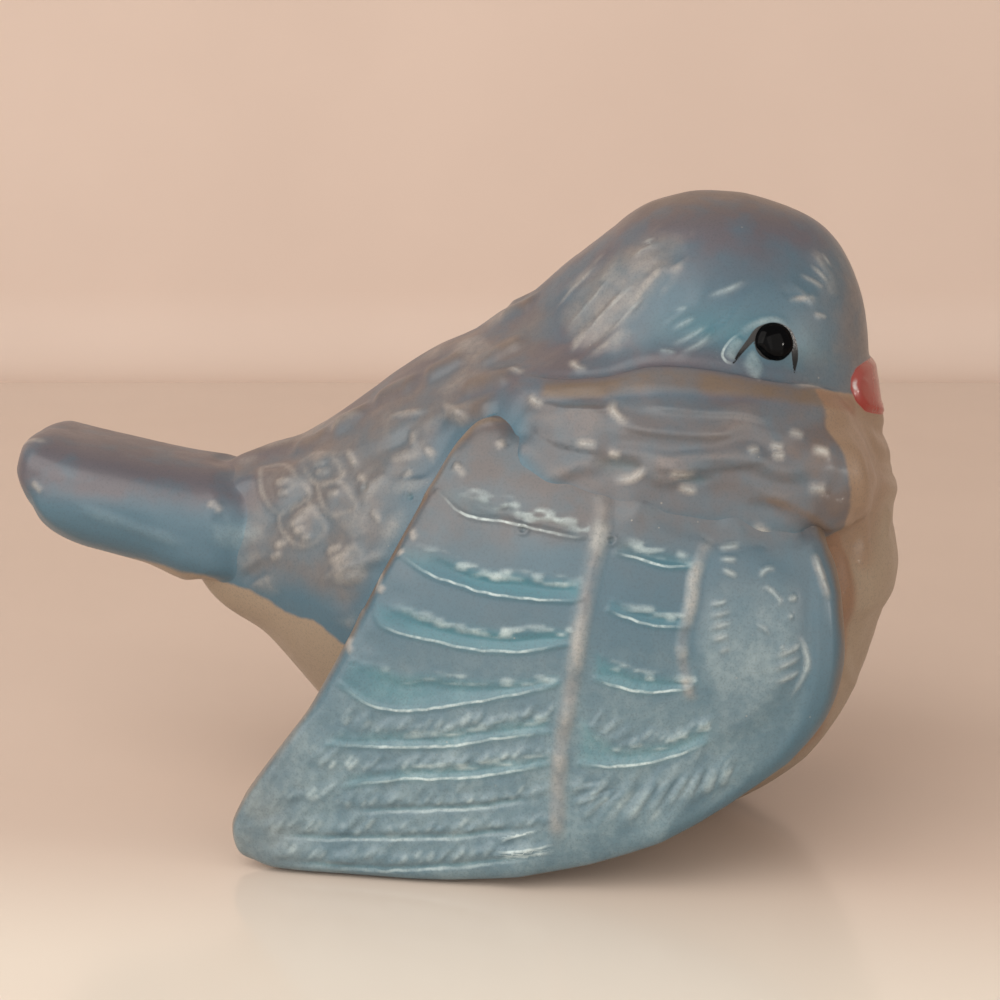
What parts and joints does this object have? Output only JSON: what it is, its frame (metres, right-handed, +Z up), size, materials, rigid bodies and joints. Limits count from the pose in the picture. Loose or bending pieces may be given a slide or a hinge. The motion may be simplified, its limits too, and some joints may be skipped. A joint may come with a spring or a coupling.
{
  "type": "bird figurine",
  "caption": "Hollow glazed ceramic songbird resting with its head tucked into its shoulders, drooped carved wings and a short blunt tail.",
  "frame": {"origin": "centre of the whole figurine's outline seen from above, at the height of the surface it stands on", "axes": "+X the way the bird faces, +Y its left side, +Z up"},
  "size_m": [0.156, 0.096, 0.111],
  "materials": {
    "body_glaze": "satin grey-blue glaze with a cream breast",
    "tail_glaze": "satin grey-blue glaze, mauve-grey on top",
    "wing_glaze": "satin grey-blue glaze, paler teal in the carved lines",
    "beak_glaze": "gloss coral glaze",
    "eye_glaze": "gloss black glaze"
  },
  "bodies": {
    "root": {"body_shell": "body_glaze", "tail": "tail_glaze", "right_wing": "wing_glaze", "left_wing": "wing_glaze", "beak": "beak_glaze", "right_eye": "eye_glaze", "left_eye": "eye_glaze"}
  },
  "joints": []
}
